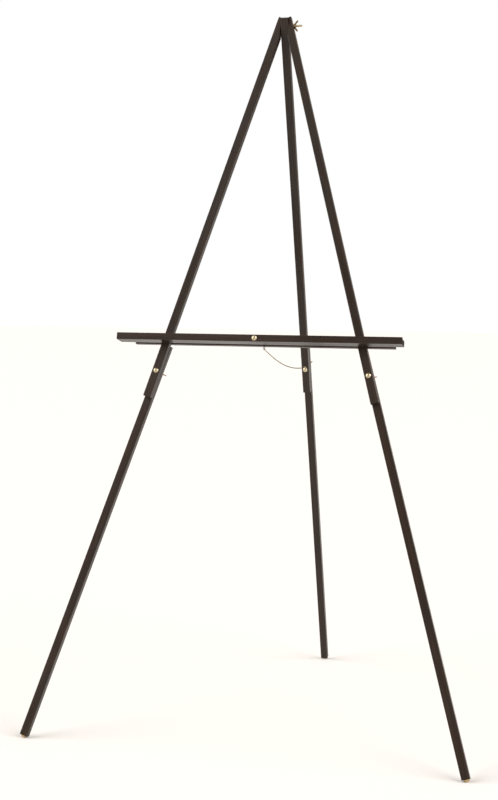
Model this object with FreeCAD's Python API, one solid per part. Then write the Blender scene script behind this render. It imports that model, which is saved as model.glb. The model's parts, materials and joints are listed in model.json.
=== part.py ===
import FreeCAD, Part
import math
import os

from FreeCAD import Placement, Rotation, Vector

# A folding wooden display easel, in millimetres.
# Three legs hang on one cross bolt at the top. Each leg is two square sticks lapped on a bolt.
# A ledge for the picture is clamped on the two front legs, and a chain limits the rear leg.
# It is modelled with the top bolt at the origin, +Z up and the front towards -Y, and is then
# lowered so that its feet stand on Z = 0 with the middle of its footprint at the origin.

# Sticks
stick_width = 17.5  # across, as seen from the front
stick_depth = 14.2  # front to back
stick_length = 889.5
stick_round = 1.2  # eased long edges
top_overhang = 18.5  # stick above the top bolt
lap_length = 120.0  # upper and lower stick side by side
lap_gap = 0.3  # between the lapped faces

# Stance
splay = 15.9  # each front leg sideways, degrees, within the front plane
front_lean = 12.27  # front plane from upright, degrees
lower_swing = 0.65  # each lower front stick is clamped this much further out, degrees
top_spread = 10.5  # centre line of a front leg from the middle, at the top bolt
side_gap = 0.4  # between the rear leg and the bevelled tops of the front legs

# Bolts, washers and wing nuts
bolt_radius = 2.5
bolt_fit = 0.08  # radial, where a piece turns on a bolt
head_radius = 5.5
head_height = 3.0
slot_width = 1.3
slot_depth = 1.5
top_bolt_end = 13.5  # a bolt stands out of its wing nut by this much
lap_bolt_end = 3.0
crossbar_bolt_end = 3.0
washer_radius = 5.5
washer_thickness = 1.0
washer_fit = 0.3
seat_radius = 6.5  # flat seats cut in the sloping sides at the top
nut_gap = 0.1  # between a nut and its washer
hub_radius = 4.2
hub_top_radius = 3.7
hub_height = 6.5
wing_reach = 12.5  # from the axis to the tip
wing_rise = 11.0  # from the seat to the tip
wing_thickness = 2.2
wing_tip_radius = 1.6
wing_root_low = 0.6  # where a wing leaves its hub
wing_root_high = 5.5
top_slot_turn = 60.0  # degrees that heads and nuts happen to be turned
top_nut_turn = 118.0
level_slot_turn = 90.0
lap_nut_turns = {"left": 96.0, "right": 90.0, "rear": 58.0}
crossbar_nut_turn = 80.0

# Crossbar
rail_length = 621.0
rail_depth = 33.0
rail_height = 15.0
lip_width = 5.0
lip_rise = 3.0  # lip above the ledge
cove_radius = 3.0
rail_round = 1.2
rail_centre_x = -6.0  # it is clamped a little left of the middle
rear_bar_length = 573.0
rear_bar_depth = 13.0
rear_bar_centre_x = -3.0
clamp_gap = 0.3  # between a bar and the legs
rest_gap = 0.5  # between the rear bar and the tops of the lower sticks
crossbar_bolt_x = -9.0

# Feet
glide_radius = 6.2
glide_height = 5.0
nail_radius = 1.0
nail_length = 12.0
nail_fit = 0.05  # also for the screw eye's shank
nail_hole_spare = 0.5  # hole deeper than the nail

# Chain and what it hooks on
chain_radius = 1.2
# The chain hangs in the middle plane. Its points are (Y, Z) in the finished frame, from the
# screw eye under the rear bar, and from where the front run ends to the tab on the rear leg.
chain_front_points = [(-257.9, 836.7), (-229.7, 828.8), (-199.8, 821.6)]
chain_main_points = [
    (-199.8, 821.6),
    (-169.9, 814.4),
    (-117.0, 804.0),
    (-62.2, 795.7),
    (-6.4, 789.8),
    (47.5, 786.5),
    (96.3, 785.5),
    (139.7, 786.3),
]
bend_share = 0.45  # of the shorter run beside a bend, taken up by the bend
eye_ring_radius = 2.2
eye_wire_radius = 0.6
eye_shank_radius = 0.9
eye_shank_length = 5.5
tab_reach = 7.2  # hole for the chain from the bolt
tab_bolt_end_radius = 4.5
tab_chain_end_radius = 2.8
tab_thickness = 1.0
tab_hole_radius = 1.3

past = 1.0  # a cut runs past the face that it opens by this much

X, Y, Z = Vector(1, 0, 0), Vector(0, 1, 0), Vector(0, 0, 1)
ORIGIN = Vector(0, 0, 0)


def cylinder(radius, length, start=ORIGIN, direction=Z):
    return Part.makeCylinder(radius, length, start, direction)


def eased(blank, radius):
    """The blank with its longest edges rounded."""
    longest = max(edge.Length for edge in blank.Edges)
    long_edges = [edge for edge in blank.Edges if math.isclose(edge.Length, longest)]
    return blank.makeFillet(radius, long_edges)


def stick(low_z, high_z, middle_y):
    """A square stick along Z with its four long edges eased."""
    corner = Vector(-stick_width / 2, middle_y - stick_depth / 2, low_z)
    return eased(Part.makeBox(stick_width, stick_depth, high_z - low_z, corner), stick_round)


def slotted_bolt(length):
    """A bolt along +Z from its seat at Z = 0, with a domed head below it."""
    dome_radius = (head_radius**2 + head_height**2) / (2 * head_height)
    ball = Part.makeSphere(dome_radius, Vector(0, 0, dome_radius - head_height))
    above_head = -head_height - past
    head = ball.common(cylinder(head_radius, -above_head, Vector(0, 0, above_head)))
    slot_corner = Vector(-head_radius, -slot_width / 2, above_head)
    slot = Part.makeBox(2 * head_radius, slot_width, slot_depth + past, slot_corner)
    return head.cut(slot).fuse(cylinder(bolt_radius, length)).removeSplitter()


def washer():
    ring = cylinder(washer_radius, washer_thickness)
    return ring.cut(cylinder(bolt_radius + washer_fit, washer_thickness))


def wing_nut():
    """A wing nut along +Z from its seat at Z = 0, with its wings towards +X and -X."""
    hub = Part.makeCone(hub_radius, hub_top_radius, hub_height)
    tip = Vector(wing_reach - wing_tip_radius, 0, wing_rise - wing_tip_radius)
    root_low = Vector(hub_radius / 2, 0, wing_root_low)
    root_high = Vector(hub_radius / 2, 0, wing_root_high)
    ahead = (tip - (root_low + root_high) / 2).normalize() * wing_tip_radius
    across = ahead.cross(Y)
    outline = Part.Wire(
        [
            Part.makeLine(root_low, tip - across),
            Part.Arc(tip - across, tip + ahead, tip + across).toShape(),
            Part.makeLine(tip + across, root_high),
            Part.makeLine(root_high, root_low),
        ]
    )
    wing = Part.Face(outline).extrude(Y * wing_thickness)
    wing.translate(Y * (-wing_thickness / 2))
    other = wing.mirror(ORIGIN, X)
    bore = cylinder(bolt_radius + bolt_fit, wing_rise + 2 * past, Vector(0, 0, -past))
    return hub.fuse([wing, other]).cut(bore).removeSplitter()


def towards(point, direction, turn=0.0):
    """The place of a piece made along +Z that is to stand at point and run along direction."""
    return Placement(point, Rotation(Z, direction)) * Placement(ORIGIN, Rotation(Z, turn))


def placed(shape, place):
    shape = shape.copy()
    shape.Placement = place * shape.Placement
    return shape


# Distances down a leg from the top bolt
lap_top = stick_length - top_overhang - lap_length
lap_bottom = lap_top + lap_length
lap_bolt_at = lap_top + lap_length / 2
foot_at = lap_top + stick_length
lower_y = stick_depth + lap_gap  # the lower stick stands this far behind the upper one

# The glide is part of a ball, and the floor touches that ball under its centre.
glide_ball = (glide_radius**2 + glide_height**2) / (2 * glide_height)
ball_at = foot_at + glide_height - glide_ball

front_plane = Placement(ORIGIN, Rotation(X, -front_lean))
upper_places = {
    "left": front_plane * Placement(Vector(-top_spread, 0, 0), Rotation(Y, splay)),
    "right": front_plane * Placement(Vector(top_spread, 0, 0), Rotation(Y, -splay)),
}
lap_bolt = Vector(0, 0, -lap_bolt_at)
lower_places = {
    "left": upper_places["left"] * Placement(ORIGIN, Rotation(Y, lower_swing), lap_bolt),
    "right": upper_places["right"] * Placement(ORIGIN, Rotation(Y, -lower_swing), lap_bolt),
}

# The rear leg leans until its foot is as low as the front ones.
front_drop = -lower_places["left"].multVec(Vector(0, lower_y, -ball_at)).z
rear_lean = math.degrees(
    math.acos(front_drop / math.hypot(ball_at, lower_y)) - math.atan2(lower_y, ball_at)
)
upper_places["rear"] = lower_places["rear"] = Placement(ORIGIN, Rotation(X, rear_lean))

inner_x = stick_width / 2 + side_gap
outer_x = top_spread + stick_width / 2 / math.cos(math.radians(splay))
seat_x = outer_x - seat_radius * math.tan(math.radians(splay))

nodes = {}


def leg_bolt_hole(shape):
    start = Vector(0, -stick_depth, -lap_bolt_at)
    return shape.cut(cylinder(bolt_radius + bolt_fit, 4 * stick_depth, start, Y))


def top_bolt_hole(shape):
    start = Vector(-outer_x - stick_width, 0, 0)
    return shape.cut(cylinder(bolt_radius + bolt_fit, -2 * start.x, start, X))


def make_upper_legs():
    for side, place in upper_places.items():
        leg = leg_bolt_hole(stick(-lap_bottom, top_overhang, 0.0))
        leg = placed(leg, place)
        if side != "rear":
            sign = 1 if side == "right" else -1
            reach = 4 * stick_width
            # The top is bevelled flat beside the rear leg, and has a flat seat for the bolt.
            middle = Part.makeBox(reach, reach, 2 * reach, Vector(-reach, -reach / 2, -reach))
            bevel_place = Placement(Vector(sign * inner_x, 0, 0), Rotation(Z, 90 - 90 * sign))
            leg = leg.cut(placed(middle, bevel_place))
            leg = leg.cut(cylinder(seat_radius, reach, Vector(sign * seat_x, 0, 0), X * sign))
        nodes["upper_leg_" + side] = top_bolt_hole(leg)


def make_lower_legs():
    for side, place in lower_places.items():
        leg = leg_bolt_hole(stick(-foot_at, -lap_top, lower_y))
        hole_start = Vector(0, lower_y, -foot_at - past)
        hole_length = past + nail_length + nail_hole_spare
        leg = leg.cut(cylinder(nail_radius + nail_fit, hole_length, hole_start))
        nodes["lower_leg_" + side] = placed(leg, place)


def make_glides():
    for side, place in lower_places.items():
        face = Vector(0, lower_y, -foot_at)
        ball = Part.makeSphere(glide_ball, face + Z * (glide_ball - glide_height))
        cap = ball.common(cylinder(glide_ball, glide_height + past, face, -Z))
        nail = cylinder(nail_radius, nail_length, face)
        nodes["foot_glide_" + side] = placed(cap.fuse(nail), place)


def add_fastening(name, place, grip, bolt_end, nut_turn):
    """A bolt with its seat at place, and the washer and wing nut at its far end."""
    nut_seat = grip + washer_thickness + nut_gap
    bolt = slotted_bolt(nut_seat + hub_height + bolt_end)
    nodes[name + "_bolt"] = placed(bolt, place)
    nodes[name + "_washer"] = placed(washer(), place * Placement(Z * grip, Rotation()))
    nut_place = place * Placement(Z * nut_seat, Rotation(Z, nut_turn))
    nodes[name + "_wing_nut"] = placed(wing_nut(), nut_place)


def make_top_fastening():
    place = towards(Vector(-seat_x, 0, 0), X, top_slot_turn)
    add_fastening("top", place, 2 * seat_x, top_bolt_end, top_nut_turn)


def make_lap_fastenings():
    for side, leg_place in upper_places.items():
        tab = tab_thickness if side == "rear" else 0.0
        seat = Vector(0, -stick_depth / 2 - tab, -lap_bolt_at)
        place = leg_place * towards(seat, Y, level_slot_turn)
        grip = tab + 2 * stick_depth + lap_gap
        add_fastening("lap_" + side, place, grip, lap_bolt_end, lap_nut_turns[side])


# The crossbar lies in the front plane, in which local Y runs back and local Z up the legs.
bar_bottom = -(lap_top * math.cos(math.radians(splay)))
bar_bottom += stick_width / 2 * math.sin(math.radians(splay)) + rest_gap
rail_back = -stick_depth / 2 - clamp_gap
rail_front = rail_back - rail_depth
rear_bar_front = stick_depth / 2 + clamp_gap
rear_bar_back = rear_bar_front + rear_bar_depth
crossbar_bolt_z = bar_bottom + rail_height / 2


def bar_bolt_hole(shape):
    start = Vector(crossbar_bolt_x, rail_front - past, crossbar_bolt_z)
    length = rear_bar_back - rail_front + 2 * past
    return shape.cut(cylinder(bolt_radius + bolt_fit, length, start, Y))


def make_front_rail():
    start_x = rail_centre_x - rail_length / 2
    lip_top = bar_bottom + rail_height
    ledge = lip_top - lip_rise
    lip_back = rail_front + lip_width
    cove_centre = Vector(start_x, lip_back + cove_radius, ledge + cove_radius)
    cove_middle = cove_centre - Vector(0, 1, 1) * (cove_radius / math.sqrt(2))
    corners = [
        Vector(start_x, lip_back, lip_top),
        Vector(start_x, rail_front, lip_top),
        Vector(start_x, rail_front, bar_bottom),
        Vector(start_x, rail_back, bar_bottom),
        Vector(start_x, rail_back, ledge),
        Vector(start_x, lip_back + cove_radius, ledge),
    ]
    edges = [Part.makeLine(a, b) for a, b in zip(corners, corners[1:])]
    edges.append(Part.Arc(corners[-1], cove_middle, corners[0]).toShape())
    rail = Part.Face(Part.Wire(edges)).extrude(X * rail_length)
    front_edges = [
        edge
        for edge in rail.Edges
        if edge.BoundBox.XLength > rail_length / 2 and math.isclose(edge.BoundBox.YMax, rail_front)
    ]
    nodes["front_rail"] = placed(bar_bolt_hole(rail.makeFillet(rail_round, front_edges)), front_plane)


def make_rear_clamp_bar():
    start = Vector(rear_bar_centre_x - rear_bar_length / 2, rear_bar_front, bar_bottom)
    blank = Part.makeBox(rear_bar_length, rear_bar_depth, rail_height, start)
    bar = bar_bolt_hole(eased(blank, rail_round))
    hole_length = past + eye_shank_length + nail_hole_spare
    shank_hole = cylinder(eye_shank_radius + nail_fit, hole_length, eye_root() - Z * past)
    nodes["rear_clamp_bar"] = placed(bar.cut(shank_hole), front_plane)


def make_crossbar_fastening():
    seat = Vector(crossbar_bolt_x, rail_front, crossbar_bolt_z)
    place = front_plane * towards(seat, Y, level_slot_turn)
    add_fastening("crossbar", place, rear_bar_back - rail_front, crossbar_bolt_end, crossbar_nut_turn)


def eye_root():
    """Where the screw eye enters the underside of the rear bar."""
    return Vector(0, (rear_bar_front + rear_bar_back) / 2, bar_bottom)


def make_screw_eye():
    ring_centre = eye_root() - Z * (eye_ring_radius + 2 * eye_wire_radius)
    ring = Part.makeTorus(eye_ring_radius, eye_wire_radius, ring_centre, Y)
    start = ring_centre + Z * eye_ring_radius
    shank = cylinder(eye_shank_radius, eye_shank_length + 2 * eye_wire_radius, start)
    nodes["chain_screw_eye"] = placed(ring.fuse(shank), front_plane)


def make_chain_tab():
    """A flat brass tab under the head of the rear lap bolt, with a hole for the chain."""
    front = -stick_depth / 2 - tab_thickness
    low = Vector(0, front, -lap_bolt_at)
    high = low + Z * tab_reach
    corner = low - X * tab_chain_end_radius
    tab = Part.makeBox(2 * tab_chain_end_radius, tab_thickness, tab_reach, corner)
    for end, end_radius in ((low, tab_bolt_end_radius), (high, tab_chain_end_radius)):
        tab = tab.fuse(cylinder(end_radius, tab_thickness, end, Y))
    tab = tab.removeSplitter()
    for end, hole_radius in ((low, bolt_radius + bolt_fit), (high, tab_hole_radius)):
        tab = tab.cut(cylinder(hole_radius, tab_thickness, end, Y))
    nodes["chain_tab"] = placed(tab, upper_places["rear"])


def chain_tube(name, points):
    """A tube of straight runs joined by tangent arcs, through points in the finished frame."""
    corners = [Vector(0, y, z) for y, z in points]
    edges, radii, start = [], [], corners[0]
    for before, corner, after in zip(corners, corners[1:], corners[2:]):
        come, go = corner - before, after - corner
        half_turn = come.getAngle(go) / 2
        reach = bend_share * min(come.Length, go.Length)
        radius = reach / math.tan(half_turn)
        come.normalize()
        go.normalize()
        inward = (go - come).normalize()
        bend_start, bend_end = corner - come * reach, corner + go * reach
        bend_middle = corner + inward * (radius / math.cos(half_turn) - radius)
        edges.append(Part.makeLine(start, bend_start))
        edges.append(Part.Arc(bend_start, bend_middle, bend_end).toShape())
        radii.append(round(radius))
        start = bend_end
    edges.append(Part.makeLine(start, corners[-1]))
    path = Part.Wire(edges)
    section = Part.makeCircle(chain_radius, corners[0], corners[1] - corners[0])
    nodes[name] = path.makePipeShell([Part.Wire(section)], True, False)
    expected = math.pi * chain_radius**2 * path.Length
    print(name, "length", round(path.Length, 1), "bend radii", radii)
    print(name, "volume", round(nodes[name].Volume, 1), "section x length", round(expected, 1))


make_upper_legs()
make_lower_legs()
make_glides()
make_top_fastening()
make_lap_fastenings()
make_front_rail()
make_rear_clamp_bar()
make_crossbar_fastening()
make_screw_eye()
make_chain_tab()

# Everything is lowered onto its feet, and the chain is added in that finished frame.
bounds = Part.makeCompound(list(nodes.values())).BoundBox
to_floor = Vector(-bounds.Center.x, -bounds.Center.y, -bounds.ZMin)
for shape in nodes.values():
    shape.translate(to_floor)
chain_tube("chain_front_run", chain_front_points)
chain_tube("chain_main_run", chain_main_points)

os.makedirs("parts", exist_ok=True)
for name, shape in nodes.items():
    shape.exportStep(f"parts/{name}.step")
overall = (bounds.XLength, bounds.YLength, bounds.ZLength)
print(len(nodes), "nodes, overall", [round(size, 1) for size in overall])
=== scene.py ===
import bpy
import bmesh
import json
import math
from mathutils import Matrix, Vector


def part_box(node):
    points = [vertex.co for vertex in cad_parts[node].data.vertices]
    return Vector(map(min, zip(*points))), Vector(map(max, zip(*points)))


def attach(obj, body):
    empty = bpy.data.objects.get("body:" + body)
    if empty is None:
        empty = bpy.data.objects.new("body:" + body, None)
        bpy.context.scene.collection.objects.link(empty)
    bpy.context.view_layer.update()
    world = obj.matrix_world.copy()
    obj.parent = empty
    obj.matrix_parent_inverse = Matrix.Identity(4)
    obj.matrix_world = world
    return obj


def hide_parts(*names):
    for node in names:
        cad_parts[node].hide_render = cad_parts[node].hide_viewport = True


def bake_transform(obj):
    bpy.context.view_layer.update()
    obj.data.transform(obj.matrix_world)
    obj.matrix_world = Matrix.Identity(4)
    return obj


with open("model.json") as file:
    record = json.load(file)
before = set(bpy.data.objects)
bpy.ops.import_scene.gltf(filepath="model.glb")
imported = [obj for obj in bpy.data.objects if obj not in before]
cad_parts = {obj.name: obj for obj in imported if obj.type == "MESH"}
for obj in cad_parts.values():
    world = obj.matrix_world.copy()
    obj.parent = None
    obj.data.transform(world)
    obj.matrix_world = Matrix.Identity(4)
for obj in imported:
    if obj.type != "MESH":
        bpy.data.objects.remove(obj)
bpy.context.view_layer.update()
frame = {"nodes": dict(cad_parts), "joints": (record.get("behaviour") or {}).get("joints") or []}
nodes = frame["nodes"]
joints = {joint["name"]: joint for joint in frame["joints"]}

# The camera stands about three metres in front of the easel, a little to its right and at
# the height of the lap joints. It is held almost level.
camera_place = Vector((0.7303, -3.0863, 0.8903))
camera_forward = Vector((-0.2598, 0.9640, -0.0560))
camera_up = Vector((-0.0292, 0.0502, 0.9983))
camera_lens = 61.32
camera_data = bpy.data.cameras.new("camera")
camera_data.lens = camera_lens
camera = bpy.data.objects.new("camera", camera_data)
camera_right = camera_forward.cross(camera_up).normalized()
camera_turn = Matrix((camera_right, camera_right.cross(camera_forward), -camera_forward)).transposed()
camera.matrix_world = Matrix.Translation(camera_place) @ camera_turn.to_4x4()
bpy.context.scene.collection.objects.link(camera)
bpy.context.scene.camera = camera

# The legs are six slim hardwood sticks, planed, with their long edges eased by a router. They
# are stained near black and sprayed with satin lacquer, which shows the grain in its sheen.
# Each lower stick laps behind its upper one, and the front pair stand a little further out.
stick_width = 0.0175
stick_depth = 0.0142
lapped_behind = 0.0145
lower_swing = {"left": math.radians(0.65), "right": math.radians(-0.65), "rear": 0.0}
stain_dark = (0.0085, 0.0040, 0.0020, 1)
stain_light = (0.0300, 0.0155, 0.0080, 1)
end_grain_stain = (0.0050, 0.0026, 0.0014, 1)
worn_wood = (0.120, 0.066, 0.036, 1)
lacquer_coat = 0.04
lacquer_sheen = 0.33
lacquer_coat_roughness = 0.25
grain_streaks = (420, 420, 9)
grain_figure = (70, 70, 2.2)
open_pores = (1500, 1500, 55)
edge_rubbing = (260, 260, 22)
lacquer_smears = (45, 45, 6)
rubbed_edge_from = 0.0003
rubbed_edge_to = 0.0013
grain_relief = 0.00025


def shader_group(name, inputs, outputs):
    group = bpy.data.node_groups.new(name, "ShaderNodeTree")
    for label, kind in inputs:
        group.interface.new_socket(name=label, in_out="INPUT", socket_type="NodeSocket" + kind)
    for label, kind in outputs:
        group.interface.new_socket(name=label, in_out="OUTPUT", socket_type="NodeSocket" + kind)
    return group


def add_node(tree, kind, settings=(), **inputs):
    """A shader node with its settings made and its inputs set or linked. i0 is its first input."""
    node = tree.nodes.new(kind)
    for name, value in dict(settings).items():
        setattr(node, name, value)
    for name, value in inputs.items():
        by_number = name[0] == "i" and name[1:].isdigit()
        socket = node.inputs[int(name[1:]) if by_number else name]
        if isinstance(value, bpy.types.NodeSocket):
            tree.links.new(value, socket)
        else:
            socket.default_value = value
    return node


def maths(tree, operation, first, second=0.0, third=0.0):
    inputs = {"i0": first, "i1": second, "i2": third}
    return add_node(tree, "ShaderNodeMath", {"operation": operation}, **inputs).outputs[0]


def spread(tree, value, low, high, to_low=0.0, to_high=1.0):
    """The value carried smoothly from low..high to to_low..to_high."""
    inputs = {"Value": value, "From Min": low, "From Max": high, "To Min": to_low, "To Max": to_high}
    settings = {"interpolation_type": "SMOOTHSTEP"}
    return add_node(tree, "ShaderNodeMapRange", settings, **inputs).outputs[0]


def noise(tree, place, stretch, detail=4.0, roughness=0.55, distortion=0.0):
    """Noise whose features are 1/stretch metres along each axis."""
    scaled = add_node(tree, "ShaderNodeVectorMath", {"operation": "MULTIPLY"}, i0=place, i1=stretch)
    inputs = {"Vector": scaled.outputs[0], "Scale": 1.0, "Detail": detail, "Roughness": roughness}
    return add_node(tree, "ShaderNodeTexNoise", Distortion=distortion, **inputs).outputs[0]


def mixed(tree, factor, first, second):
    """The first colour where factor is 0, and the second where it is 1."""
    inputs = {"i0": factor, "i6": first, "i7": second}
    return add_node(tree, "ShaderNodeMix", {"data_type": "RGBA"}, **inputs).outputs[2]


def make_wood_group():
    """Stained grain along Z, open pores, and stain rubbed thin along the edges."""
    inputs = [("Place", "Vector")]
    inputs += [(label, "Float") for label in ("Half Width", "Half Depth", "End Face")]
    outputs = [("Color", "Color"), ("Roughness", "Float"), ("Height", "Float")]
    group = shader_group("stained_grain", inputs, outputs)
    source = group.nodes.new("NodeGroupInput")
    place = source.outputs["Place"]
    streaks = noise(group, place, grain_streaks, detail=6.0, roughness=0.62, distortion=0.5)
    figure = noise(group, place, grain_figure, detail=3.0, roughness=0.5, distortion=0.8)
    pores = spread(group, noise(group, place, open_pores, detail=3.0, roughness=0.7), 0.60, 0.72)
    fine_grain = maths(group, "MULTIPLY", streaks, 0.65)
    broad_grain = maths(group, "MULTIPLY", figure, 0.35)
    grain = maths(group, "ADD", fine_grain, broad_grain)
    stain = mixed(group, spread(group, grain, 0.36, 0.66), stain_dark, stain_light)
    stain = mixed(group, maths(group, "MULTIPLY", pores, 0.55), stain, stain_dark)

    split = add_node(group, "ShaderNodeSeparateXYZ", Vector=place)
    near_edge = []
    for axis, half in ((0, "Half Width"), (1, "Half Depth")):
        from_middle = maths(group, "ABSOLUTE", split.outputs[axis])
        inside = maths(group, "SUBTRACT", source.outputs[half], from_middle)
        near_edge.append(spread(group, inside, rubbed_edge_from, rubbed_edge_to, 1.0, 0.0))
    edge = maths(group, "MULTIPLY", near_edge[0], near_edge[1])
    rubbed = spread(group, noise(group, place, edge_rubbing, detail=5.0, roughness=0.7), 0.50, 0.72)
    wear = maths(group, "MULTIPLY", edge, rubbed)
    color = mixed(group, maths(group, "MULTIPLY", wear, 0.5), stain, worn_wood)
    end_face = source.outputs["End Face"]
    color = mixed(group, end_face, color, end_grain_stain)

    smears = noise(group, place, lacquer_smears, detail=3.0, roughness=0.6)
    gloss = spread(group, smears, 0.3, 0.7, 0.27, 0.40)
    gloss = maths(group, "MULTIPLY_ADD", pores, 0.16, gloss)
    gloss = maths(group, "MULTIPLY_ADD", wear, 0.15, gloss)
    gloss = maths(group, "MULTIPLY_ADD", end_face, 0.6, gloss)
    height = maths(group, "MULTIPLY_ADD", streaks, 0.45, maths(group, "MULTIPLY", pores, -0.6))
    add_node(group, "NodeGroupOutput", Color=color, Roughness=gloss, Height=height)
    return group


wood_group = make_wood_group()


def stained_wood(name, turn, middle, width, depth):
    """Stained wood whose grain runs along the third axis of turn, on a bar of that section."""
    material = bpy.data.materials.new(name)
    material.use_nodes = True
    tree = material.node_tree
    shader = tree.nodes["Principled BSDF"]
    shader.inputs["Specular IOR Level"].default_value = lacquer_sheen
    shader.inputs["Coat Weight"].default_value = lacquer_coat
    shader.inputs["Coat Roughness"].default_value = lacquer_coat_roughness
    source = add_node(tree, "ShaderNodeTexCoord")
    inputs = {"Vector": source.outputs["Object"], "Location": middle, "Rotation": turn.to_euler()}
    own_place = add_node(tree, "ShaderNodeMapping", {"vector_type": "TEXTURE"}, **inputs).outputs[0]
    grain = tree.nodes.new("ShaderNodeGroup")
    grain.node_tree = wood_group
    tree.links.new(own_place, grain.inputs["Place"])
    grain.inputs["Half Width"].default_value = width / 2
    grain.inputs["Half Depth"].default_value = depth / 2
    inputs = {"i0": source.outputs["Normal"], "i1": turn.col[2]}
    facing = add_node(tree, "ShaderNodeVectorMath", {"operation": "DOT_PRODUCT"}, **inputs).outputs["Value"]
    end_face = spread(tree, maths(tree, "ABSOLUTE", facing), 0.75, 0.95)
    tree.links.new(end_face, grain.inputs["End Face"])
    inputs = {"Strength": 0.35, "Distance": grain_relief, "Height": grain.outputs["Height"]}
    bump = add_node(tree, "ShaderNodeBump", **inputs)
    tree.links.new(grain.outputs["Color"], shader.inputs["Base Color"])
    tree.links.new(grain.outputs["Roughness"], shader.inputs["Roughness"])
    tree.links.new(bump.outputs[0], shader.inputs["Normal"])
    return material


def set_material(thing, material):
    thing.data.materials.clear()
    thing.data.materials.append(material)


def reach(node, start, axis):
    """How far a CAD node reaches along axis, from start, each way."""
    distances = [(vertex.co - start).dot(axis) for vertex in nodes[node].data.vertices]
    return min(distances), max(distances)


def leg_frame(side):
    """A leg's own axes (across, back, along) and the middle of its upper stick at the lap bolt."""
    back = Vector(joints[f"lap_{side}_nut_turn"]["axis"])
    lap = Vector(joints[f"lap_{side}_nut_turn"]["pos_m"])
    glide_low, glide_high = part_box("foot_glide_" + side)
    along = lap + back * lapped_behind - (glide_low + glide_high) / 2
    along = (along - back * along.dot(back)).normalized()
    return Matrix((back.cross(along), back, along)).transposed(), lap


sides = ("left", "right", "rear")
for side in sides:
    turn, lap = leg_frame(side)
    upper_turn = Matrix.Rotation(-lower_swing[side], 3, turn.col[1]) @ turn
    behind = lap + turn.col[1] * lapped_behind
    for level, middle, axes in (("upper", lap, upper_turn), ("lower", behind, turn)):
        wood = stained_wood(f"{level}_{side}_wood", axes, middle, stick_width, stick_depth)
        set_material(nodes[f"{level}_leg_{side}"], wood)

# The crossbar is a moulded rail with a lip and a cove on its front, and a plain batten behind
# the legs. Both are ripped from the same stained wood, and one bolt clamps them on the legs.
rail_height = 0.015
rail_depth = 0.033
batten_depth = 0.013
bar_up = Vector(joints["crossbar_slide"]["axis"])
bar_back = Vector(joints["crossbar_nut_turn"]["axis"])
bar_turn = Matrix((bar_up, bar_back, bar_up.cross(bar_back))).transposed()
bar_bolt = Vector(joints["crossbar_nut_turn"]["pos_m"])
for name, depth in (("front_rail", rail_depth), ("rear_clamp_bar", batten_depth)):
    nearest, furthest = reach(name, bar_bolt, bar_back)
    middle = bar_bolt + bar_back * (nearest + furthest) / 2
    set_material(nodes[name], stained_wood(name + "_wood", bar_turn, middle, rail_height, depth))

# The bolts are 5 mm brass-plated screws with slotted domed heads. Their ends have a rolled
# thread, on which a cast wing nut is tightened over a punched washer.
bolt_radius = 0.0025
thread_root_radius = 0.0021
thread_pitch = 0.0008
thread_hidden = 0.004
head_radius = 0.0055
head_height = 0.003
head_rim = 0.0005
thread_runout = 0.0004
thread_sunk = 0.0001
bolt_end_bevel = 0.0003
bolt_end_inset = 0.0004
slot_width = 0.0013
slot_depth = 0.0015
nut_bore = 0.00258
hub_radius = 0.0042
hub_top_radius = 0.0037
hub_height = 0.0065
hub_edge = 0.0004
wing_reach = 0.0125
wing_rise = 0.011
wing_thickness = 0.0022
wing_tip_radius = 0.0019
wing_root = 0.0031
wing_root_low = 0.0008
wing_root_high = 0.0056
wing_edge = 0.0005
washer_radius = 0.0055
washer_thickness = 0.001
washer_clearance = 0.0003
washer_edge = 0.00015
brass_light = (0.80, 0.71, 0.52, 1)
brass_dark = (0.55, 0.45, 0.28, 1)
tarnish = (0.20, 0.145, 0.085, 1)
plating_clouds = (380, 380, 380)
plating_pits = (2600, 2600, 2600)
handled_patches = (650, 650, 650)
pit_depth = 0.00006
full_turn = 2 * math.pi
turning_steps = 48
smooth_below = math.radians(38)
top_slot_way = Vector((0, 0.5, 0.866))


def make_brass_group():
    """Plated brass: soft colour clouds, handling tarnish and fine pits."""
    inputs = [("Place", "Vector"), ("Tarnish", "Float")]
    outputs = [("Color", "Color"), ("Roughness", "Float"), ("Height", "Float")]
    group = shader_group("plated_brass", inputs, outputs)
    source = group.nodes.new("NodeGroupInput")
    place = source.outputs["Place"]
    clouds = noise(group, place, plating_clouds, detail=4.0, roughness=0.6)
    pits = noise(group, place, plating_pits, detail=3.0, roughness=0.6)
    color = mixed(group, spread(group, clouds, 0.38, 0.68), brass_light, brass_dark)
    patches = noise(group, place, handled_patches, detail=5.0, roughness=0.7)
    dull = maths(group, "MULTIPLY", spread(group, patches, 0.48, 0.70), source.outputs["Tarnish"])
    color = mixed(group, dull, color, tarnish)
    gloss = spread(group, pits, 0.35, 0.7, 0.20, 0.34)
    gloss = maths(group, "MULTIPLY_ADD", dull, 0.3, gloss)
    height = maths(group, "MULTIPLY_ADD", pits, 0.5, maths(group, "MULTIPLY", clouds, 0.5))
    add_node(group, "NodeGroupOutput", Color=color, Roughness=gloss, Height=height)
    return group


brass_group = make_brass_group()


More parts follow.
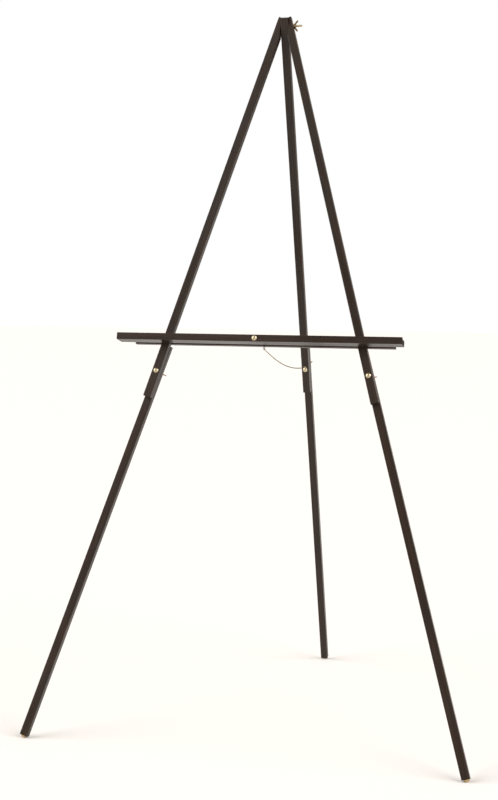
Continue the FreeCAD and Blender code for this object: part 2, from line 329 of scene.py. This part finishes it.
def brass(name, tarnished, tint=None):
    """Plated brass, with more or less tarnish, and a tint over it for older plating."""
    material = bpy.data.materials.new(name)
    material.use_nodes = True
    tree = material.node_tree
    shader = tree.nodes["Principled BSDF"]
    shader.inputs["Metallic"].default_value = 1.0
    plating = tree.nodes.new("ShaderNodeGroup")
    plating.node_tree = brass_group
    tree.links.new(add_node(tree, "ShaderNodeTexCoord").outputs["Object"], plating.inputs["Place"])
    plating.inputs["Tarnish"].default_value = tarnished
    color = plating.outputs["Color"]
    if tint:
        settings = {"data_type": "RGBA", "blend_type": "MULTIPLY"}
        color = add_node(tree, "ShaderNodeMix", settings, i0=1.0, i6=color, i7=tint).outputs[2]
    inputs = {"Strength": 0.15, "Distance": pit_depth, "Height": plating.outputs["Height"]}
    bump = add_node(tree, "ShaderNodeBump", **inputs)
    tree.links.new(color, shader.inputs["Base Color"])
    tree.links.new(plating.outputs["Roughness"], shader.inputs["Roughness"])
    tree.links.new(bump.outputs[0], shader.inputs["Normal"])
    return material


bright_brass = brass("bright_brass", 0.6, (0.86, 0.86, 0.84, 1))
nut_brass = brass("nut_brass", 0.9, (0.36, 0.31, 0.25, 1))


def revolved(outline, closed=False):
    """A bmesh of (radius, height) points turned about Z."""
    shape = bmesh.new()
    points = [shape.verts.new((radius, 0, height)) for radius, height in outline]
    pairs = list(zip(points, points[1:]))
    if closed:
        pairs.append((points[-1], points[0]))
    section = points + [shape.edges.new(pair) for pair in pairs]
    turned = {"axis": (0, 0, 1), "angle": full_turn, "steps": turning_steps, "use_merge": True}
    bmesh.ops.spin(shape, geom=section, cent=(0, 0, 0), **turned)
    bmesh.ops.remove_doubles(shape, verts=shape.verts, dist=1e-6)
    bmesh.ops.recalc_face_normals(shape, faces=shape.faces)
    return shape


def dome(radius, height, rim, steps):
    """Points (radius, height) of a dome, from its crown to the top of its straight rim."""
    rise = height - rim
    ball = (radius**2 + rise**2) / (2 * rise)
    sweep = math.asin(radius / ball)
    angles = [sweep * step / steps for step in range(steps + 1)]
    return [(ball * math.sin(angle), -height + ball * (1 - math.cos(angle))) for angle in angles]


def mesh_of(shape, name):
    """Makes a bmesh a mesh, and frees it."""
    mesh = bpy.data.meshes.new(name)
    shape.to_mesh(mesh)
    shape.free()
    return mesh


def joined(name, base, other, operation):
    """The mesh of base with other added or cut away."""
    things = [bpy.data.objects.new(name, mesh_of(shape, name)) for shape in (base, other)]
    for thing in things:
        bpy.context.scene.collection.objects.link(thing)
    change = things[0].modifiers.new("join", "BOOLEAN")
    change.operation = operation
    change.solver = "EXACT"
    change.object = things[1]
    depsgraph = bpy.context.evaluated_depsgraph_get()
    mesh = bpy.data.meshes.new_from_object(things[0].evaluated_get(depsgraph))
    for thing in things:
        bpy.data.objects.remove(thing)
    result = bmesh.new()
    result.from_mesh(mesh)
    bpy.data.meshes.remove(mesh)
    return result


def finish_piece(name, shape, place, material, body, replaced=()):
    """Puts a shape at its place as a smooth-shaded piece, which rides on a CAD body if one is given."""
    bmesh.ops.transform(shape, matrix=place, verts=shape.verts)
    mesh = mesh_of(shape, name)
    mesh.polygons.foreach_set("use_smooth", [True] * len(mesh.polygons))
    mesh.set_sharp_from_angle(angle=smooth_below)
    piece = bpy.data.objects.new(name, mesh)
    bpy.context.scene.collection.objects.link(piece)
    set_material(piece, material)
    if body:
        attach(piece, body)
    if replaced:
        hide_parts(*replaced)
    return piece


def standing(place, axis, side_way):
    """The place of a piece made along Z, with its X turned towards side_way."""
    up = axis.normalized()
    ahead = (side_way - up * side_way.dot(up)).normalized()
    return Matrix.Translation(place) @ Matrix((ahead, up.cross(ahead), up)).transposed().to_4x4()


def make_bolt(length, threaded):
    """A bolt along Z, with its head below its seat at zero. Its last stretch is threaded."""
    outline = dome(head_radius, head_height, head_rim, steps=8)
    thread_start = length - threaded
    outline += [(head_radius, 0), (bolt_radius, 0), (bolt_radius, thread_start - thread_runout)]
    outline += [(thread_root_radius, thread_start), (thread_root_radius, length - bolt_end_bevel)]
    outline += [(thread_root_radius - bolt_end_inset, length), (0, length)]
    bolt = revolved(outline)
    cutter = bmesh.new()
    bmesh.ops.create_cube(cutter, size=1.0)
    size = (3 * head_radius, slot_width, 2 * slot_depth)
    bmesh.ops.scale(cutter, vec=size, verts=cutter.verts)
    bmesh.ops.translate(cutter, vec=(0, 0, -head_height), verts=cutter.verts)
    bolt = joined("bolt", bolt, cutter, "DIFFERENCE")

    # The thread is a ridge of triangular section, 0.8 of a pitch wide, wound round the core.
    sunk = thread_root_radius - thread_sunk
    low = bolt.verts.new((sunk, 0, thread_start))
    crest = bolt.verts.new((bolt_radius, 0, thread_start + thread_pitch * 0.4))
    high = bolt.verts.new((sunk, 0, thread_start + thread_pitch * 0.8))
    section = bolt.faces.new((low, crest, high))
    ridge = [section, low, crest, high, *section.edges]
    turns = int((threaded - thread_pitch) / thread_pitch)
    steps_a_turn = 20
    rise = Vector((0, 0, thread_pitch / steps_a_turn))
    wound = {"axis": (0, 0, 1), "dvec": rise, "angle": full_turn * turns, "steps": steps_a_turn * turns}
    bmesh.ops.spin(bolt, geom=ridge, cent=(0, 0, 0), **wound)
    bmesh.ops.recalc_face_normals(bolt, faces=bolt.faces)
    return bolt


def make_washer():
    """A flat ring along Z, from zero up, its edges rounded over by the punch."""
    edge = washer_edge
    inner = bolt_radius + washer_clearance
    outline = [(inner, edge), (inner, washer_thickness - edge), (inner + edge, washer_thickness)]
    outline += [(washer_radius - edge, washer_thickness), (washer_radius, washer_thickness - edge)]
    outline += [(washer_radius, edge), (washer_radius - edge, 0), (inner + edge, 0)]
    return revolved(outline, closed=True)


def arc(middle, radius, start, end, steps):
    """Points (x, z) along an arc, its angles in radians from X towards Z."""
    angles = [start + (end - start) * step / steps for step in range(steps + 1)]
    return [(middle[0] + radius * math.cos(a), middle[1] + radius * math.sin(a)) for a in angles]


def plate(outline, front, thickness, ease):
    """A flat plate from (x, z) points, from y = front back by its thickness, its edges eased."""
    shape = bmesh.new()
    face = shape.faces.new([shape.verts.new((x, front, z)) for x, z in outline])
    grown = bmesh.ops.extrude_face_region(shape, geom=[face])
    moved = [item for item in grown["geom"] if isinstance(item, bmesh.types.BMVert)]
    bmesh.ops.translate(shape, vec=(0, thickness, 0), verts=moved)
    bmesh.ops.recalc_face_normals(shape, faces=shape.faces)
    sharp = math.radians(69)
    rim = [edge for edge in shape.edges if edge.calc_face_angle(0) > sharp]
    bevelled = {"offset": ease, "segments": 3, "profile": 0.5, "affect": "EDGES", "material": -1}
    bmesh.ops.bevel(shape, geom=rim, **bevelled)
    return shape


def make_wing():
    """One wing towards +X, as a rounded plate from its hub to its tip."""
    tip = (wing_reach - wing_tip_radius, wing_rise - wing_tip_radius)
    lean = math.atan2(tip[1] - (wing_root_low + wing_root_high) / 2, tip[0] - wing_root)
    outline = [(wing_root, wing_root_high), (wing_root, wing_root_low)]
    outline += arc(tip, wing_tip_radius, lean - math.pi / 2, lean + math.pi / 2, 12)
    return plate(outline, -wing_thickness / 2, wing_thickness, wing_edge)


def make_wing_nut():
    """A tapered hub along Z, from zero up, with a wing on each side of it."""
    edge = hub_edge
    outline = [(nut_bore + edge, 0), (hub_radius - edge, 0), (hub_radius, edge)]
    outline += [(hub_top_radius, hub_height - edge), (hub_top_radius - edge, hub_height)]
    outline += [(nut_bore + edge, hub_height), (nut_bore, hub_height - edge), (nut_bore, edge)]
    nut = revolved(outline, closed=True)
    for half_turn in (0, math.pi):
        wing = make_wing()
        about = Matrix.Rotation(half_turn, 3, "Z")
        bmesh.ops.rotate(wing, cent=(0, 0, 0), matrix=about, verts=wing.verts)
        nut = joined("nut", nut, wing, "UNION")
    return nut


def wing_direction(node, start, axis):
    """Which way the furthest vertex of a wing nut stands from its axis."""
    def arm(vertex):
        offset = vertex.co - start
        return offset - axis * offset.dot(axis)
    return max((arm(vertex) for vertex in nodes[node].data.vertices), key=lambda offset: offset.length)


# Each joint's bolt and washer ride on the first body, and its wing nut on the second. The
# slot in the bolt's head points the way given last.
fastenings = {
    "top": ("front_frame", "top_nut", top_slot_way),
    "lap_left": ("front_frame", "lap_left_nut", bar_up),
    "lap_right": ("front_frame", "lap_right_nut", bar_up),
    "lap_rear": ("rear_leg", "lap_rear_nut", Vector((0, 0, 1))),
    "crossbar": ("crossbar", "crossbar_nut", bar_up),
}
for name, (body, nut_body, slot_way) in fastenings.items():
    axis = Vector(joints[name + "_nut_turn"]["axis"])
    start = Vector(joints[name + "_nut_turn"]["pos_m"])
    head_top, bolt_end = reach(name + "_bolt", start, axis)
    seat = head_top + head_height
    nut_low = reach(name + "_wing_nut", start, axis)[0]
    threaded = bolt_end - nut_low - hub_height + thread_hidden
    bolt_place = standing(start + axis * seat, axis, slot_way)
    bolt = make_bolt(bolt_end - seat, threaded)
    finish_piece(name + "_screw", bolt, bolt_place, bright_brass, body, [name + "_bolt"])
    washer_low = reach(name + "_washer", start, axis)[0]
    washer_place = standing(start + axis * washer_low, axis, slot_way)
    washer = make_washer()
    washer_name = name + "_flat_washer"
    finish_piece(washer_name, washer, washer_place, bright_brass, body, [name + "_washer"])
    wing_way = wing_direction(name + "_wing_nut", start, axis)
    nut_place = standing(start + axis * nut_low, axis, wing_way)
    nut = make_wing_nut()
    finish_piece(name + "_cast_nut", nut, nut_place, nut_brass, nut_body, [name + "_wing_nut"])

# Each foot is a pressed metal glide, a domed cap on a nail that is driven up into the end
# grain. Its antique brass plating has dulled.
glide_radius = 0.0062
glide_height = 0.005
glide_rim = 0.0007
glide_nail = 0.001
glide_nail_length = 0.012
glide_nail_point = 0.002
glide_edge = 0.0002
antique_brass = brass("antique_brass", 0.6, (0.80, 0.66, 0.46, 1))


def make_glide():
    """A glide along Z, its dome below the wood at zero and its nail above."""
    outline = dome(glide_radius, glide_height, glide_rim, steps=10)
    outline += [(glide_radius, -glide_edge), (glide_radius - glide_edge, 0), (glide_nail, 0)]
    outline += [(glide_nail, glide_nail_length - glide_nail_point), (0, glide_nail_length)]
    return revolved(outline)


for side in sides:
    turn, lap = leg_frame(side)
    along = turn.col[2]
    stick_low = reach("lower_leg_" + side, lap, along)[0]
    place = standing(lap + turn.col[1] * lapped_behind + along * stick_low, along, turn.col[0])
    glide = make_glide()
    replaced = ["foot_glide_" + side]
    finish_piece("glide_" + side, glide, place, antique_brass, "lower_" + side, replaced)

# The chain limits how far the rear leg opens. It is a fine cable chain of bent wire links,
# hung between a screw eye under the batten and a tab under the head of the rear lap bolt.
# Points are (y, z) in metres, in the middle plane, from the screw eye to the tab.
front_points = [(-0.2579, 0.8367), (-0.2297, 0.8288), (-0.1998, 0.8216)]
main_points = [
    (-0.1998, 0.8216),
    (-0.1699, 0.8144),
    (-0.1170, 0.8040),
    (-0.0622, 0.7957),
    (-0.0064, 0.7898),
    (0.0475, 0.7865),
    (0.0963, 0.7855),
    (0.1397, 0.7863),
]
link_width = 0.0024
link_length = 0.0040
link_wire = 0.00095
link_pitch = link_length - 2 * link_wire
end_ring_radius = 0.0019
chain_brass = brass("chain_brass", 0.9, (0.36, 0.33, 0.27, 1))


def smooth_line(points):
    """Points along the NURBS spline of a route."""
    curve = bpy.data.curves.new("route", "CURVE")
    curve.dimensions = "3D"
    curve.resolution_u = 24
    spline = curve.splines.new("NURBS")
    spline.points.add(len(points) - 1)
    for point, (y, z) in zip(spline.points, points):
        point.co = (0, y, z, 1)
    spline.order_u = 3
    spline.use_endpoint_u = True
    thing = bpy.data.objects.new("route", curve)
    bpy.context.scene.collection.objects.link(thing)
    mesh = bpy.data.meshes.new_from_object(thing.evaluated_get(bpy.context.evaluated_depsgraph_get()))
    line = [vertex.co.copy() for vertex in mesh.vertices]
    bpy.data.objects.remove(thing)
    bpy.data.meshes.remove(mesh)
    return line


def line_length(line):
    return sum((b - a).length for a, b in zip(line, line[1:]))


def point_on(line, distance):
    """The point that far along a line, and the line's direction there."""
    for a, b in zip(line, line[1:]):
        step = (b - a).length
        if distance <= step or b is line[-1]:
            return a.lerp(b, distance / step), (b - a).normalized()
        distance -= step


def part_of(line, start, end):
    """The stretch of a line between two distances along it."""
    inner, along = [], 0.0
    for a, b in zip(line, line[1:]):
        along += (b - a).length
        if start < along < end:
            inner.append(b)
    return [point_on(line, start)[0]] + inner + [point_on(line, end)[0]]


def make_ring(half_width, stretch, wire, wire_sides, steps):
    """A wire ring in the XZ plane, its halves moved apart along Z where it is a link."""
    ring = bmesh.new()
    bmesh.ops.create_circle(ring, segments=wire_sides, radius=wire / 2)
    bmesh.ops.translate(ring, vec=(half_width, 0, 0), verts=ring.verts)
    section = ring.verts[:] + ring.edges[:]
    turned = {"axis": (0, 1, 0), "angle": full_turn, "steps": steps, "use_merge": True}
    bmesh.ops.spin(ring, geom=section, cent=(0, 0, 0), **turned)
    bmesh.ops.remove_doubles(ring, verts=ring.verts, dist=1e-7)
    for sign in (1, -1):
        half = [vertex for vertex in ring.verts if vertex.co.z * sign > 1e-6]
        bmesh.ops.translate(ring, vec=(0, 0, sign * stretch / 2), verts=half)
    bmesh.ops.recalc_face_normals(ring, faces=ring.faces)
    return ring


def link_count(line):
    return round(line_length(line) / link_pitch)


def make_links(line, first):
    """Links a pitch apart along a line, each a quarter turn on from the one before."""
    count = link_count(line)
    pitch = line_length(line) / count
    half_width = (link_width - link_wire) / 2
    link = make_ring(half_width, link_length - link_width, link_wire, wire_sides=4, steps=12)
    link_mesh = mesh_of(link, "link")
    chain = bmesh.new()
    across = Vector((1, 0, 0))
    for number in range(count):
        place, ahead = point_on(line, (number + 0.5) * pitch)
        flat = across if (number + first) % 2 == 0 else ahead.cross(across)
        before = len(chain.verts)
        chain.from_mesh(link_mesh)
        chain.verts.ensure_lookup_table()
        bmesh.ops.transform(chain, matrix=standing(place, ahead, flat), verts=chain.verts[before:])
    bpy.data.meshes.remove(link_mesh)
    return chain


# The screw eye is one bent wire: a ring with a small gap beside its shank, and a shank that
# is screwed up into the batten.
eye_ring_radius = 0.0022
eye_wire = 0.0012
eye_gap = math.radians(28)
eye_shank_low_radius = 0.0007
eye_shank_high_radius = 0.0009
eye_low, eye_high = reach("chain_screw_eye", bar_bolt, bar_up)
eye_front, eye_back = reach("chain_screw_eye", bar_bolt, bar_back)
eye_height = eye_low + eye_ring_radius + eye_wire / 2
eye_middle = bar_bolt + bar_up * eye_height + bar_back * (eye_front + eye_back) / 2
eye_middle.x = 0
eye = bmesh.new()
bmesh.ops.create_circle(eye, segments=12, radius=eye_wire / 2)
bmesh.ops.rotate(eye, cent=(0, 0, 0), matrix=Matrix.Rotation(math.pi / 2, 3, "Y"), verts=eye.verts)
bmesh.ops.translate(eye, vec=(0, 0, eye_ring_radius), verts=eye.verts)
section = eye.verts[:] + eye.edges[:]
bent_round = full_turn - eye_gap
bmesh.ops.spin(eye, geom=section, cent=(0, 0, 0), axis=(0, 1, 0), angle=bent_round, steps=36)
bmesh.ops.holes_fill(eye, edges=[edge for edge in eye.edges if edge.is_boundary])
bmesh.ops.recalc_face_normals(eye, faces=eye.faces)
shank_length = eye_high - eye_low - 2 * eye_ring_radius - eye_wire / 2
shank = bmesh.new()
size = {"radius1": eye_shank_low_radius, "radius2": eye_shank_high_radius, "depth": shank_length}
bmesh.ops.create_cone(shank, cap_ends=True, segments=16, **size)
bmesh.ops.translate(shank, vec=(0, 0, eye_ring_radius + shank_length / 2), verts=shank.verts)
eye = joined("eye", eye, shank, "UNION")
eye_place = standing(eye_middle, bar_up, Vector((1, 0, 0)))
finish_piece("screw_eye", eye, eye_place, nut_brass, "crossbar", ["chain_screw_eye"])

# The tab is stamped from brass sheet. Its small end is bent a little away from the wood, so
# that the chain's end ring can pass through the hole.
tab_bolt_end = 0.0045
tab_chain_end = 0.0028
tab_reach = 0.0072
tab_thickness = 0.0010
tab_chain_hole = 0.0013
tab_fold_at = 0.0057
tab_fold = math.radians(35)
tab_edge = 0.0002
rear_turn, rear_lap = leg_frame("rear")
rear_back, rear_up = rear_turn.col[1], rear_turn.col[2]
tab_front = reach("chain_tab", rear_lap, rear_back)[0]
narrowing = math.asin((tab_bolt_end - tab_chain_end) / tab_reach)
outline = arc((0, tab_reach), tab_chain_end, narrowing, math.pi - narrowing, 16)
outline += arc((0, 0), tab_bolt_end, math.pi - narrowing, full_turn + narrowing, 28)
tab = plate(outline, 0, tab_thickness, tab_edge)
for height, radius in ((0, nut_bore), (tab_reach, tab_chain_hole)):
    drill = bmesh.new()
    size = {"radius1": radius, "radius2": radius, "depth": 4 * tab_thickness}
    bmesh.ops.create_cone(drill, cap_ends=True, segments=32, **size)
    along_y = Matrix.Rotation(math.pi / 2, 4, "X")
    drill_place = Matrix.Translation((0, 0, height)) @ along_y
    bmesh.ops.transform(drill, matrix=drill_place, verts=drill.verts)
    tab = joined("tab", tab, drill, "DIFFERENCE")
everything = tab.verts[:] + tab.edges[:] + tab.faces[:]
fold_line = (0, 0, tab_fold_at)
bmesh.ops.bisect_plane(tab, geom=everything, plane_co=fold_line, plane_no=(0, 0, 1), dist=1e-7)
lifted = [vertex for vertex in tab.verts if vertex.co.z > tab_fold_at + 1e-6]
bmesh.ops.rotate(tab, cent=fold_line, matrix=Matrix.Rotation(tab_fold, 3, "X"), verts=lifted)
tab_place = standing(rear_lap + rear_back * tab_front, rear_up, rear_turn.col[0])
finish_piece("bent_tab", tab, tab_place, bright_brass, "rear_leg", ["chain_tab"])

# A small wire ring joins each end of the chain to what it hangs on. The links start and end
# inside the two rings, and the chain is one length, although it is laid in two runs.
end_ring_wire = 0.0008
eye_ring_lap = 0.0004
tab_ring_lap = 0.0001
front_line = smooth_line(front_points)
main_line = smooth_line(main_points)
eye_wire_at = eye_middle - bar_up * eye_ring_radius
beyond = tab_reach - tab_fold_at
hole_height = tab_fold_at + beyond * math.cos(tab_fold)
tab_hole_at = tab_place @ Vector((0, -beyond * math.sin(tab_fold), hole_height))
first_way = (front_line[1] - front_line[0]).normalized()
last_way = (main_line[-1] - main_line[-2]).normalized()
ring_centres = {
    "eye_end_ring": eye_wire_at + first_way * (end_ring_radius - eye_ring_lap),
    "tab_end_ring": tab_hole_at - last_way * (end_ring_radius - tab_ring_lap),
}
for name, centre in ring_centres.items():
    ring = make_ring(end_ring_radius, 0, end_ring_wire, wire_sides=10, steps=32)
    ring_place = standing(centre, Vector((0, 0, 1)), Vector((0, 1, 0)))
    body = "crossbar" if name == "eye_end_ring" else "rear_leg"
    finish_piece(name, ring, ring_place, chain_brass, body)

ring_reach = end_ring_radius - link_wire
links_start = (ring_centres["eye_end_ring"] - front_line[0]).length + ring_reach
left_over = (main_line[-1] - ring_centres["tab_end_ring"]).length
links_end = line_length(main_line) - left_over - ring_reach
front_line = part_of(front_line, links_start, line_length(front_line))
main_line = part_of(main_line, 0, links_end)
front_links = make_links(front_line, 0)
main_links = make_links(main_line, link_count(front_line))
chains = {}
for name, links in (("front", front_links), ("main", main_links)):
    replaced = [f"chain_{name}_run"]
    piece = f"chain_{name}_links"
    as_laid = Matrix.Identity(4)
    chains[name] = finish_piece(piece, links, as_laid, chain_brass, None, replaced)
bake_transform(chains["front"])
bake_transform(chains["main"])

# The studio is a wide pale floor under a white sky, with a large soft light on each side.
floor_size = 400.0
floor_color = (0.90, 0.90, 0.89, 1)
floor_roughness = 0.9
floor_shape = bmesh.new()
bmesh.ops.create_grid(floor_shape, x_segments=1, y_segments=1, size=floor_size / 2)
floor = bpy.data.objects.new("floor", mesh_of(floor_shape, "floor"))
bpy.context.scene.collection.objects.link(floor)
floor_paint = bpy.data.materials.new("floor_paint")
floor_paint.use_nodes = True
floor_shader = floor_paint.node_tree.nodes["Principled BSDF"]
floor_shader.inputs["Base Color"].default_value = floor_color
floor_shader.inputs["Roughness"].default_value = floor_roughness
set_material(floor, floor_paint)

# The sky behind the easel is plain white, and the walls that light it are a warm grey.
sky_color = (1, 1, 1, 1)
wall_color = (0.56, 0.50, 0.445, 1)
world = bpy.data.worlds.new("studio")
bpy.context.scene.world = world
world.use_nodes = True
sky = world.node_tree
seen = sky.nodes.new("ShaderNodeLightPath").outputs["Is Camera Ray"]
sky_or_wall = mixed(sky, seen, wall_color, sky_color)
sky.links.new(sky_or_wall, sky.nodes["Background"].inputs["Color"])
bpy.context.scene.view_settings.view_transform = "Standard"

# Each soft light is given by the way towards it and its strength.
soft_lights = {
    "left": (Vector((-0.80, -0.45, 0.55)), 2.1),
    "right": (Vector((0.85, -0.30, 0.55)), 1.9),
}
soft_light_spread = math.radians(55)
for name, (towards_light, strength) in soft_lights.items():
    light_data = bpy.data.lights.new(name, "SUN")
    light_data.angle = soft_light_spread
    light_data.energy = strength
    light = bpy.data.objects.new(name, light_data)
    light.rotation_mode = "QUATERNION"
    light.rotation_quaternion = towards_light.to_track_quat("Z", "Y")
    bpy.context.scene.collection.objects.link(light)
